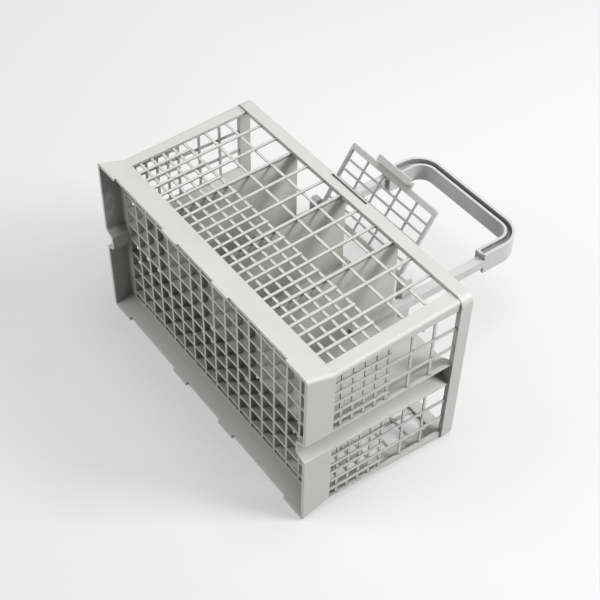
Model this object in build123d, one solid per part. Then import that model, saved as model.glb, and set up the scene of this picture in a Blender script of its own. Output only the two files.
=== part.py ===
from build123d import *
import os

# Dishwasher cutlery basket: a one-piece moulded tub with graded mesh walls, a strap handle
# clipped into it, and two grid lids hinged beside the handle.
# It is built standing on its feet, X along its length, Y across it and Z up,
# and laid on one long side at the end, as it lies when it is left on a table.
# Lengths are in millimetres and angles in degrees.

# Tub outline
rim_length = 240.0
rim_width = 135.0
rim_radius = 6.0
rim_band = 9.2
rim_proud = 1.3
tub_height = 122.4
base_length = 235.0
base_width = 135.0
crease_width = 122.0
crease_height = 20.5
corner_radius = 2.5
wall = 2.2

# Feet under the long sides
foot_height = 1.8
corner_foot = 21.0
middle_foot = 17.0
middle_foot_place = 28.5

# Groove down the middle of each end
groove_mouth = 16.0
groove_bottom = 8.0
groove_depth = 7.0

# Mesh of the walls, in two layers of ribs that cross
rib = 1.9
rib_recess = 0.15
rib_bite = 0.8
side_pitch = 9.0
side_margin = 9.0
row_pitch = 8.65
coarse_rows = 3
end_pitch = 8.5
end_post = 1.8
end_margin = 0.6

# Base lattice
base_bottom = 13.0
base_thickness = 4.3
base_rib = 2.0
base_side_margin = 1.2
base_end_margin = 5.0

# Inner walls
divider = 1.6
divider_drop = 4.4
divider_clear = 0.6

# Handle: an arched strap with a groove in each side, on two narrower legs
handle_length = 112.8
handle_rise = 116.1
handle_width = 16.8
handle_inner_width = 13.8
handle_radius = 20.0
grip_thickness = 6.8
strap_thickness = 9.5
strap_drop = 39.5
flange = 2.1
web = 8.0
leg_thickness = 6.5
leg_width = 7.0
socket_wall = 1.8
socket_fit = 0.3
socket_depth = 36.0

# Lids and their hinges
hinge_place = 15.7
hinge_rise = 10.1
pin_radius = 1.5
pin_fit = 0.1
knuckle = 4.4
ear_stand = 4.3
ear_thickness = 6.3
ear_height = 8.0
ear_corner = 2.4
lid_gap = 1.6
lid_rim_gap = 0.3
lid_thickness = 2.4
lid_side = 2.2
lid_edge = 4.0
lid_corner = 1.0
lid_columns = 5
lid_rows = 6
lid_rib = 1.4
upper_lid_open = 32.5
lower_lid_open = 36.0

# Latch in the middle of each lid's free edge, and its slot in the rim
latch_length = 32.0
latch_over_rim = 2.5
latch_thickness = 1.8
latch_drop = 6.0
latch_lip = 2.7
slot_length = 36.6
slot_height = 1.8
slot_depth = 1.4
slot_below_top = 1.0

# Places that follow from them
band_bottom = tub_height - rim_band
shoulder_width = rim_width - 2 * rim_proud
shoulder_length = rim_length - 2 * rim_proud
mesh_drop = band_bottom - crease_height
groove_floor = base_length / 2 - groove_depth
base_top = base_bottom + base_thickness
base_pitch = 1.5 * side_pitch
divider_place = 4 * base_pitch
divider_top = tub_height - divider_drop
handle_top = tub_height + handle_rise
leg_inner = handle_length / 2 - leg_thickness
leg_outer = handle_length / 2
leg_step = handle_top - strap_drop
leg_foot = divider_top - socket_depth + socket_wall
hinge_height = tub_height + hinge_rise
ear_inner = leg_inner - ear_stand
lid_length = 2 * (ear_inner - lid_gap)
lid_reach = rim_width / 2 - hinge_place - lid_rim_gap
half_turn = Rot(0, 0, 180)


def bar(x_range, y_range, z_range):
    """A straight bar between two limits along each axis."""
    ranges = (x_range, y_range, z_range)
    sizes = [high - low for low, high in ranges]
    middle = [(low + high) / 2 for low, high in ranges]
    return Pos(*middle) * Box(*sizes)


def mirrored_face(right):
    """A face from its right-hand outline, lowest point first, and that outline's mirror image."""
    left = [(-x, z) for x, z in reversed(right)]
    return make_face(Polyline(*right, *left, close=True))


def half_width(z):
    """Outer half-width of the long walls at a height: a flared skirt, a crease, a leaning wall."""
    if z <= crease_height:
        return (base_width + (crease_width - base_width) * z / crease_height) / 2
    return (crease_width + (shoulder_width - crease_width) * (z - crease_height) / mesh_drop) / 2


def half_length(z):
    """Outer half-length of the nearly upright end walls at a height."""
    return (base_length + (shoulder_length - base_length) * z / band_bottom) / 2


def block(inset, low, high):
    """The tub's outline as a solid between two heights, with its walls moved in by an inset."""
    heights = [low, high]
    if low < crease_height < high:
        heights.insert(1, crease_height)
    across = mirrored_face([(half_width(z) - inset, z) for z in heights])
    along = mirrored_face([(half_length(z) - inset, z) for z in (low, high)])
    lengthwise = extrude(Plane.YZ * across, rim_length, both=True)
    return lengthwise & extrude(Plane.XZ * along, rim_width, both=True)


def rounded_block(low, high):
    """That solid with the edges up its corners rounded."""
    solid = block(0, low, high)
    upright = solid.edges().filter_by(lambda edge: abs(edge.tangent_at(0.5).Z) > 0.7)
    return fillet(upright, corner_radius)


def grooves(growth):
    """The end grooves up to the rim band, grown by the wall where one lies behind them."""
    reach = rim_length / 2 - groove_floor
    inner = groove_bottom / 2
    outer = inner + (groove_mouth - groove_bottom) / 2 * reach / groove_depth
    corners = [(groove_floor, -inner), (rim_length / 2, -outer), (rim_length / 2, outer), (groove_floor, inner)]
    plan = make_face(Polyline(*corners, close=True))
    if growth:
        plan = offset(plan, growth, kind=Kind.INTERSECTION)
    one = Pos(0, 0, -foot_height) * extrude(plan, band_bottom + growth + foot_height)
    return one + half_turn * one


def tub_shell():
    """Skirt, walls, base plate and rim band, with the end grooves folded into them."""
    band = extrude(RectangleRounded(rim_length, rim_width, rim_radius), rim_band)
    cavity = block(wall, base_top, tub_height)
    recess = block(wall, 0, base_bottom)
    folds = grooves(wall)
    solid = rounded_block(0, band_bottom) + Pos(0, 0, band_bottom) * band
    return solid - grooves(0) - (cavity - folds) - (recess - folds)


def foot_gaps():
    """The spaces between the feet, cut across both long sides at once."""
    corner = base_length / 2 - corner_foot
    near = middle_foot_place - middle_foot / 2
    far = middle_foot_place + middle_foot / 2
    across = (-base_width, base_width)
    spans = ((-corner, -far), (-near, near), (far, corner))
    return [bar(span, across, (-foot_height, foot_height)) for span in spans]


def mesh_rows():
    """Places of the wall mesh's level ribs, down from the rim band: coarse rows, then fine ones."""
    last = int((mesh_drop - rib) // row_pitch)
    counts = [k for k in range(1, last + 1) if k % 2 == 0 or k > 2 * coarse_rows]
    return [-row_pitch * k for k in counts]


def wall_ribs(columns, along):
    """Ribs of a mesh panel: x along the wall, y up it from the rim band, z out of its face.

    Columns are (place, coarse) pairs. The upright ribs are the outer layer, and only the
    coarse ones go on above the fine rows. The level ribs cross behind them.
    """
    middle = -(rib_recess + wall) / 2
    outer = (middle, -rib_recess)
    inner = (rib_recess - wall, middle)
    half = rib / 2
    fine_top = half - 2 * coarse_rows * row_pitch
    ribs = []
    for place, coarse in columns:
        top = rib_bite if coarse else fine_top
        ribs.append(bar((place - half, place + half), (-mesh_drop - rib_bite, top), outer))
    for row in mesh_rows():
        ribs.append(bar((along[0] - rib_bite, along[1] + rib_bite), (row - half, row + half), inner))
    return ribs


def side_panel():
    """Window and ribs of the +Y long wall: every second upright rib is a coarse one."""
    lean = (shoulder_width - crease_width) / 2 / mesh_drop
    face = Plane(origin=(0, shoulder_width / 2, band_bottom), x_dir=(-1, 0, 0), z_dir=(0, 1, -lean))
    count = 2 * int((base_length / 2 - side_margin) // (2 * side_pitch))
    reach = side_pitch * count
    columns = [(side_pitch * k, k % 2 == 0) for k in range(1 - count, count)]
    window = bar((-reach, reach), (-mesh_drop, 0), (-2 * wall, wall))
    return face * window, [face * one for one in wall_ribs(columns, (-reach, reach))]


def end_panels():
    """Windows and ribs of the +X end wall, one panel each side of its groove."""
    lean = (shoulder_length - base_length) / 2 / band_bottom
    face = Plane(origin=(shoulder_length / 2, 0, band_bottom), x_dir=(0, 1, 0), z_dir=(1, 0, -lean))
    low = groove_mouth / 2 + end_post
    high = half_width(crease_height) - wall - end_margin
    first = int((low + rib) // end_pitch) + 1
    last = int((high - rib) // end_pitch)
    columns = [(end_pitch * k, k % 2 == 1) for k in range(first, last + 1)]
    window = bar((low, high), (-mesh_drop, 0), (-2 * wall, wall))
    ribs = wall_ribs(columns, (low, high))
    ribs += [mirror(one, about=Plane.YZ) for one in ribs]
    windows = [window, mirror(window, about=Plane.YZ)]
    return [face * one for one in windows], [face * one for one in ribs]


def base_spans(limit):
    """Clear spans between the base ribs, with part spans where the lattice meets the walls."""
    count = int(limit // base_pitch)
    half = base_rib / 2
    edge = base_pitch * count + half
    lows = [base_pitch * k + half for k in range(-count, count)]
    spans = [(low, low + base_pitch - base_rib) for low in lows]
    if limit - edge > base_rib:
        spans += [(edge, limit), (-limit, -edge)]
    return spans


def base_holes():
    """Holes of the base lattice, all but those that would run into the folds of the grooves."""
    along = base_spans(half_length(base_bottom) - wall - base_end_margin)
    across = base_spans(half_width(base_top) - wall - base_side_margin)
    through = (base_bottom - base_thickness, base_top + base_thickness)
    fold_start = groove_floor - wall
    fold_edge = groove_mouth / 2 + wall
    holes = []
    for x_range in along:
        for y_range in across:
            reach = max(abs(x) for x in x_range)
            beside = min(abs(y) for y in y_range)
            if reach < fold_start or beside > fold_edge:
                holes.append(bar(x_range, y_range, through))
    return holes


def inner_walls():
    """The wall along the middle and the dividers, which meet the tub below and above the mesh."""
    joined = wall - rib_bite
    clear = wall + divider_clear
    low = base_top - base_thickness / 2
    foot = crease_height - rib_bite
    head = band_bottom + rib_bite
    side = half_width(crease_height)
    right = [(side - joined, low), (side - joined, foot), (side - clear, foot)]
    right += [(half_width(head) - clear, head), (half_width(head) - joined, head)]
    right.append((half_width(divider_top) - joined, divider_top))
    plate = extrude(Plane.YZ * mirrored_face(right), divider / 2, both=True)
    reach = groove_floor - wall / 2
    middle = bar((-reach, reach), (-divider / 2, divider / 2), (low, divider_top))
    return [middle] + [Pos(place, 0, 0) * plate for place in (-divider_place, 0, divider_place)]


def socket(growth, low, high):
    """The room round the foot of the +X handle leg, grown by a clearance or a wall."""
    half = leg_width / 2 + growth
    return bar((leg_inner - growth, leg_outer + growth), (-half, half), (low, high))


def latch_slot():
    """The slot in the rim band's outer face that a lid's latch clips into, on the +Y side."""
    top = tub_height - slot_below_top
    half = slot_length / 2
    face = rim_width / 2
    return bar((-half, half), (face - slot_depth, face + slot_depth), (top - slot_height, top))


def basket():
    """The whole tub as one moulding."""
    window, ribs = side_panel()
    end_windows, end_ribs = end_panels()
    cuts = [window, *end_windows, latch_slot()]
    cuts += [half_turn * one for one in cuts]
    added = ribs + end_ribs
    added.append(socket(socket_fit + socket_wall, divider_top - socket_depth, divider_top))
    added += [half_turn * one for one in added]
    pocket = socket(socket_fit, leg_foot, tub_height)
    shell = tub_shell() - [*foot_gaps(), *base_holes(), *cuts]
    shell = shell.fuse(*added, *inner_walls())
    return shell - [pocket, half_turn * pocket]


def arch(side, top):
    """Face of the handle's arch down to the step, with its sides and its top moved in."""
    height = handle_top - top - leg_step
    face = Pos(0, leg_step + height / 2) * Rectangle(handle_length - 2 * side, height)
    return fillet(face.vertices().group_by(Axis.Y)[-1], handle_radius - side)


def strap():
    """The strap: an outer flange, a web and a narrower inner flange, one inside the other."""
    outer = arch(0, 0)
    outer_back = arch(flange, flange)
    inner_back = arch(strap_thickness - flange, grip_thickness - flange)
    opening = arch(strap_thickness, grip_thickness)
    layers = (
        (outer - outer_back, handle_width),
        (outer_back - inner_back, web),
        (inner_back - opening, handle_inner_width),
    )
    solids = [extrude(Plane.XZ * face, width / 2, both=True) for face, width in layers]
    return solids[0] + solids[1:]


def ear():
    """Cross piece on the +X leg that carries a hinge pin of each lid."""
    reach = hinge_place + ear_height / 2
    low = hinge_height - ear_height / 2
    piece = bar((ear_inner, ear_inner + ear_thickness), (-reach, reach), (low, low + ear_height))
    piece = chamfer(piece.edges().filter_by(Axis.X), ear_corner)
    hole = Rot(0, 90, 0) * Cylinder(pin_radius + pin_fit, handle_length)
    return piece - [Pos(0, side * hinge_place, hinge_height) * hole for side in (-1, 1)]


def leg():
    """The +X leg, from its socket up into the strap, with the strap's end wall and the ear."""
    half = leg_width / 2
    shank = bar((leg_inner, leg_outer), (-half, half), (leg_foot, leg_step + flange))
    inside = handle_inner_width / 2
    end_wall = bar((leg_outer - strap_thickness, leg_outer), (-inside, inside), (leg_step, leg_step + flange))
    return shank + [end_wall, ear()]


def handle():
    """Strap handle on its two legs."""
    return strap() + [leg(), half_turn * leg()]


def lid_ribs():
    """Crossing ribs of a lid: x along the hinge, y out to the free edge, z out of the mouth."""
    half = lid_thickness / 2
    inner = lid_length / 2 - lid_side
    low = knuckle / 2
    high = lid_reach - lid_edge
    column = (lid_length - lid_side) / lid_columns
    row = (high - low) / lid_rows
    ribs = []
    for k in range(1, lid_columns):
        place = column * (k - lid_columns / 2)
        across = (place - lid_rib / 2, place + lid_rib / 2)
        ribs.append(bar(across, (low - rib_bite, high + rib_bite), (0, half - rib_recess)))
    for k in range(1, lid_rows):
        place = low + row * k
        along = (place - lid_rib / 2, place + lid_rib / 2)
        ribs.append(bar((-inner - rib_bite, inner + rib_bite), along, (rib_recess - half, 0)))
    return ribs


def latch():
    """Tab that reaches over the rim and hooks down outside it, with a finger lip."""
    half = lid_thickness / 2
    root = lid_reach - lid_edge / 2
    face = lid_reach + latch_over_rim
    back = face + latch_thickness
    lip = back + latch_lip
    top = latch_thickness - latch_drop
    hook = [(root, half), (back, half), (back, top), (lip, top)]
    hook += [(lip, -latch_drop), (face, -latch_drop), (face, -half), (root, -half)]
    return extrude(Plane.YZ * make_face(Polyline(*hook, close=True)), latch_length / 2, both=True)


def lid():
    """One lid in its own frame, with its hinge axis along X through the origin."""
    half = lid_thickness / 2
    side = lid_length / 2
    low = knuckle / 2
    plate = bar((-side, side), (-low, lid_reach), (-half, half))
    plate = fillet(plate.edges().filter_by(Axis.Z).group_by(Axis.Y)[-1], lid_corner)
    inner = side - lid_side
    plate -= bar((-inner, inner), (low, lid_reach - lid_edge), (-lid_thickness, lid_thickness))
    foot = bar((side - knuckle, side), (-low, low), (-low, low))
    reach = ear_inner + ear_thickness - side + rib_bite
    foot += Pos(side - rib_bite + reach / 2, 0, 0) * Rot(0, 90, 0) * Cylinder(pin_radius, reach)
    return plate.fuse(*lid_ribs(), latch(), foot, half_turn * foot)


def placed_lid(angle):
    """A lid at its hinge on the +Y side, opened by an angle from level."""
    return Pos(0, hinge_place, hinge_height) * Rot(angle, 0, 0) * lid()


def laid(shape):
    """The standing shape laid on its +Y long side, with the origin under its middle."""
    return Pos(0, -handle_top / 2, rim_width / 2) * Rot(-90, 0, 0) * shape


pieces = {
    "basket": basket(),
    "handle": handle(),
    "upper_lid": half_turn * placed_lid(upper_lid_open),
    "lower_lid": placed_lid(lower_lid_open),
}
os.makedirs("parts", exist_ok=True)
for name, piece in pieces.items():
    export_step(laid(piece), f"parts/{name}.step")
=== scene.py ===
import bpy
from mathutils import Matrix, Vector


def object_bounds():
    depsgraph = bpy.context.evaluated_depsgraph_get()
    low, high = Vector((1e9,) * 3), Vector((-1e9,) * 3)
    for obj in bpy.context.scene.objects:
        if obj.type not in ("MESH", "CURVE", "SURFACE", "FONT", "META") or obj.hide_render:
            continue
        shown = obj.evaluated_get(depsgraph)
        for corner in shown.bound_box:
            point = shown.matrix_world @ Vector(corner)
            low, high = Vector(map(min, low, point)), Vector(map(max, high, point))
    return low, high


# Lengths are in metres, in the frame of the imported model. Colours and tones are linear.
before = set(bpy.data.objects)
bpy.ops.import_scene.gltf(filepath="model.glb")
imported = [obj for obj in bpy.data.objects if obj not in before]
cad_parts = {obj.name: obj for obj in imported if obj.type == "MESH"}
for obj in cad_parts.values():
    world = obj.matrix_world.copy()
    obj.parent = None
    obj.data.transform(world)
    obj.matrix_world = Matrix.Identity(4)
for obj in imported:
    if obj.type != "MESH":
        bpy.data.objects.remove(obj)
cad_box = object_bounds()
scene = bpy.context.scene

# Plastics: one light warm grey; the handle's is a little lighter, partly painted light, and the lids' a
# little darker, partly painted shade
tub_colour = (0.58, 0.582, 0.56)
handle_colour = (0.62, 0.62, 0.614)
lid_colour = (0.555, 0.556, 0.54)
tub_roughness = 0.46
handle_roughness = 0.42
tub_grain = 0.22
handle_grain = 0.18

# Clouding and fleck: how fine they are, and the share of the colour that they leave
clouds_per_metre = 22
cloud_detail = 3
cloud_share = (0.965, 1.02)
flecks_per_metre = 900
fleck_detail = 2
fleck_share = (0.985, 1.01)

# Edges: their radius, the turn of the normal from no wear to full wear, and how much lighter wear is
edge_radius = 0.0004
edge_samples = 6
edge_match = (0.99, 0.8)
edge_wear = 0.35
wear_gain = 1.12
wear_lift = 0.02

# Painted shade in corners and inside: how far round them counts, the open share from darkest to full tone,
# and the darkest tone
corner_reach = 0.04
corner_samples = 4
corner_opening = (0.1, 1.0)
painted_shade_tone = 0.22

# Sheen and grain: how fine they are, how far the roughness strays, and how deep the grain is
dull_spots_per_metre = 60
sheen_detail = 4
extra_gloss = 0.05
extra_dullness = 0.06
grains_per_metre = 2600
grain_detail = 3
grain_depth = 0.00012

# Inside the plastic: how it bends light, and the share and depth of the light that sinks in
plastic_ior = 1.49
sunk_share = 0.04
sunk_depth = (0.0015, 0.0014, 0.0012)

# The middle of the noise texture's range, where most of it lies
noise_range = (0.3, 0.7)

# Floor and room, as the camera sees them and as they light the basket; the floor's tone from front to back
# is painted shade, darker towards the front
floor_reach = 6.0
floor_front = -0.45
floor_front_painted_tone = 0.40
floor_back = 0.15
floor_back_painted_tone = 0.51
floor_glow = 0.33
floor_bounce_tone = 0.42
floor_roughness = 0.9
floor_specular = 0.0
fade_start = 0.5
fade_end = 1.8
room_tone = 0.85
room_light = 0.14
cool_white = (0.985, 0.985, 1.0, 1)

# Lamps, with their energies in watts
lamps = {
    "key": {"place": (0.15, 0.1, 1.8), "size": 0.9, "energy": 13.5},
    "side": {"place": (1.12, 0.98, 1.2), "size": 0.6, "energy": 30.5},
    "front": {"place": (-0.7, -1.4, 1.0), "size": 1.0, "energy": 14},
}

# Camera: its place and axes, measured from the photograph, and its lens and sensor in millimetres
camera_place = (0.46135, -0.38690, 0.64736)
camera_right = (0.58999, 0.80721, 0.01794)
camera_up = (-0.58536, 0.41233, 0.69810)
camera_back = (0.55612, -0.42237, 0.71578)
camera_lens = 72.48
camera_sensor = 36.0
nearest_seen = 0.01
farthest_seen = 50.0


def feed(tree, target, inputs):
    """Gives a shader node its inputs. Each is a value or another node's output."""
    for name, value in inputs.items():
        if isinstance(value, bpy.types.NodeSocket):
            tree.links.new(value, target.inputs[name])
        else:
            target.inputs[name].default_value = value


def node(tree, kind, inputs=None, **settings):
    """A new shader node. Its settings come first, because they decide which inputs it has."""
    made = tree.nodes.new(kind)
    for name, value in settings.items():
        setattr(made, name, value)
    feed(tree, made, inputs or {})
    return made


def ramp(tree, value, source, target):
    """A value in the source range, mapped to the target range and held within it."""
    start, end = source
    low, high = target
    inputs = {"Value": value, "From Min": start, "From Max": end, "To Min": low, "To Max": high}
    return node(tree, "ShaderNodeMapRange", inputs).outputs["Result"]


def noise(tree, coordinates, scale, detail, target):
    """Noise with a number of features in a metre, spread over the target range."""
    inputs = {"Vector": coordinates, "Scale": scale, "Detail": detail}
    texture = node(tree, "ShaderNodeTexNoise", inputs).outputs["Fac"]
    return ramp(tree, texture, noise_range, target)


def blend(tree, kind, factor, first, second):
    """Two colours put together by a mix of the given kind."""
    inputs = {"Factor": factor, "A": first, "B": second}
    return node(tree, "ShaderNodeMix", inputs, data_type="RGBA", blend_type=kind).outputs["Result"]


def mottled(tree, coordinates, colour):
    """The colour with slow clouding from the flow of the plastic, and a faint fleck."""
    cloud = noise(tree, coordinates, clouds_per_metre, cloud_detail, cloud_share)
    fleck = noise(tree, coordinates, flecks_per_metre, fleck_detail, fleck_share)
    tone = node(tree, "ShaderNodeMath", {0: cloud, 1: fleck}, operation="MULTIPLY").outputs[0]
    return blend(tree, "MULTIPLY", 1.0, (*colour, 1), tone)


def worn_edges(tree, body, colour, rounded):
    """The body with its edges lighter, where the rounded normal leaves the face's own normal."""
    facing = node(tree, "ShaderNodeNewGeometry").outputs["Normal"]
    match = node(tree, "ShaderNodeVectorMath", {0: rounded, 1: facing}, operation="DOT_PRODUCT")
    edge = ramp(tree, match.outputs["Value"], edge_match, (0, edge_wear))
    rubbed = [wear_gain * channel + wear_lift for channel in colour]
    return blend(tree, "MIX", edge, body, (*rubbed, 1))


def painted_corner_shade(tree, body):
    """The body with painted shade: its corners and inside darker, where the piece itself keeps light out.
    """
    around = {"Distance": corner_reach}
    opening = node(tree, "ShaderNodeAmbientOcclusion", around, samples=corner_samples, only_local=True)
    tone = ramp(tree, opening.outputs["AO"], corner_opening, (painted_shade_tone, 1))
    return blend(tree, "MULTIPLY", 1.0, body, tone)


def grained(tree, coordinates, rounded, grain):
    """The rounded normal with a fine moulded grain of the given strength."""
    height = noise(tree, coordinates, grains_per_metre, grain_detail, noise_range)
    relief = {"Strength": grain, "Distance": grain_depth, "Height": height, "Normal": rounded}
    return node(tree, "ShaderNodeBump", relief).outputs["Normal"]


def moulded_plastic(name, colour, roughness, grain):
    """Satin moulded plastic: uneven tone and sheen, soft worn edges, painted shade in corners and fine
    grain.
    """
    material = bpy.data.materials.new(name)
    material.use_nodes = True
    tree = material.node_tree
    coordinates = node(tree, "ShaderNodeTexCoord").outputs["Object"]
    rounded = node(tree, "ShaderNodeBevel", {"Radius": edge_radius}, samples=edge_samples).outputs["Normal"]
    body = mottled(tree, coordinates, colour)
    worn = worn_edges(tree, body, colour, rounded)
    sheen = (roughness - extra_gloss, roughness + extra_dullness)
    feed(tree, tree.nodes["Principled BSDF"], {
        "Base Color": painted_corner_shade(tree, worn),
        "Roughness": noise(tree, coordinates, dull_spots_per_metre, sheen_detail, sheen),
        "Normal": grained(tree, coordinates, rounded, grain),
        "IOR": plastic_ior,
        "Subsurface Weight": sunk_share,
        "Subsurface Radius": sunk_depth,
    })
    return material


def paint(name, material):
    """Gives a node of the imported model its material."""
    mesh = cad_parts[name].data
    mesh.materials.clear()
    mesh.materials.append(material)


def seen_rays(tree):
    """1 for the rays that show a surface to the camera, also mirrored or through glass, or else 0."""
    rays = node(tree, "ShaderNodeLightPath").outputs
    seen = rays["Is Camera Ray"]
    for kind in ("Is Glossy Ray", "Is Transmission Ray"):
        seen = node(tree, "ShaderNodeMath", {0: seen, 1: rays[kind]}, operation="MAXIMUM").outputs[0]
    return seen


def floor_sheet():
    """The floor's material: pale to the camera, and dimmer in the light that it gives back."""
    material = bpy.data.materials.new("floor_sheet")
    material.use_nodes = True
    tree = material.node_tree

    # Near the basket the lamps light the sheet, whose tone has painted shade, darker towards the front, and
    # far off it glows as the room does
    coordinates = node(tree, "ShaderNodeTexCoord").outputs["Object"]
    along = node(tree, "ShaderNodeSeparateXYZ", {"Vector": coordinates}).outputs["Y"]
    painted_near_tone = ramp(tree, along, (floor_front, floor_back), (floor_front_painted_tone, floor_back_painted_tone))
    distance = node(tree, "ShaderNodeVectorMath", {0: coordinates}, operation="LENGTH").outputs["Value"]
    far = ramp(tree, distance, (fade_start, fade_end), (0, 1))
    lit = ramp(tree, far, (0, 1), (painted_near_tone, 0))
    glow = ramp(tree, far, (0, 1), (floor_glow, room_tone))

    seen = seen_rays(tree)
    feed(tree, tree.nodes["Principled BSDF"], {
        "Base Color": ramp(tree, seen, (0, 1), (floor_bounce_tone, lit)),
        "Emission Color": cool_white,
        "Emission Strength": ramp(tree, seen, (0, 1), (0, glow)),
        "Roughness": floor_roughness,
        "Specular IOR Level": floor_specular,
    })
    return material


def pale_floor():
    """The table that the basket lies on."""
    mesh = bpy.data.meshes.new("floor")
    corners = [(x * floor_reach, y * floor_reach, 0) for x, y in ((-1, -1), (1, -1), (1, 1), (-1, 1))]
    mesh.from_pydata(corners, [], [(0, 1, 2, 3)])
    mesh.materials.append(floor_sheet())
    floor = bpy.data.objects.new("floor", mesh)
    scene.collection.objects.link(floor)


def studio_room():
    """The room round the table: pale to the camera, and dim in the light that it gives."""
    world = bpy.data.worlds.new("studio")
    world.use_nodes = True
    tree = world.node_tree
    strength = ramp(tree, seen_rays(tree), (0, 1), (room_light, room_tone))
    feed(tree, tree.nodes["Background"], {"Color": cool_white, "Strength": strength})
    scene.world = world


def soft_light(name, place, size, energy):
    """A square area light that faces the middle of the basket."""
    data = bpy.data.lights.new(name, "AREA")
    data.shape = "SQUARE"
    data.size = size
    data.energy = energy
    lamp = bpy.data.objects.new(name, data)
    lamp.location = place
    low, high = (Vector(corner) for corner in cad_box)
    lamp.rotation_euler = ((low + high) / 2 - lamp.location).to_track_quat("-Z", "Y").to_euler()
    scene.collection.objects.link(lamp)


def photo_camera():
    """The camera where the photograph was taken from."""
    data = bpy.data.cameras.new("camera")
    data.sensor_width = camera_sensor
    data.lens = camera_lens
    data.clip_start = nearest_seen
    data.clip_end = farthest_seen
    camera = bpy.data.objects.new("camera", data)
    axes = Matrix((camera_right, camera_up, camera_back)).transposed()
    camera.matrix_world = Matrix.Translation(camera_place) @ axes.to_4x4()
    scene.collection.objects.link(camera)
    scene.camera = camera


tub_plastic = moulded_plastic("tub_plastic", tub_colour, tub_roughness, tub_grain)
handle_plastic = moulded_plastic("handle_plastic", handle_colour, handle_roughness, handle_grain)
lid_plastic = moulded_plastic("lid_plastic", lid_colour, tub_roughness, tub_grain)
paint("basket", tub_plastic)
paint("handle", handle_plastic)
paint("upper_lid", lid_plastic)
paint("lower_lid", lid_plastic)

pale_floor()
studio_room()
for lamp_name, lamp_settings in lamps.items():
    soft_light(lamp_name, **lamp_settings)
photo_camera()
scene.view_settings.view_transform = "Standard"
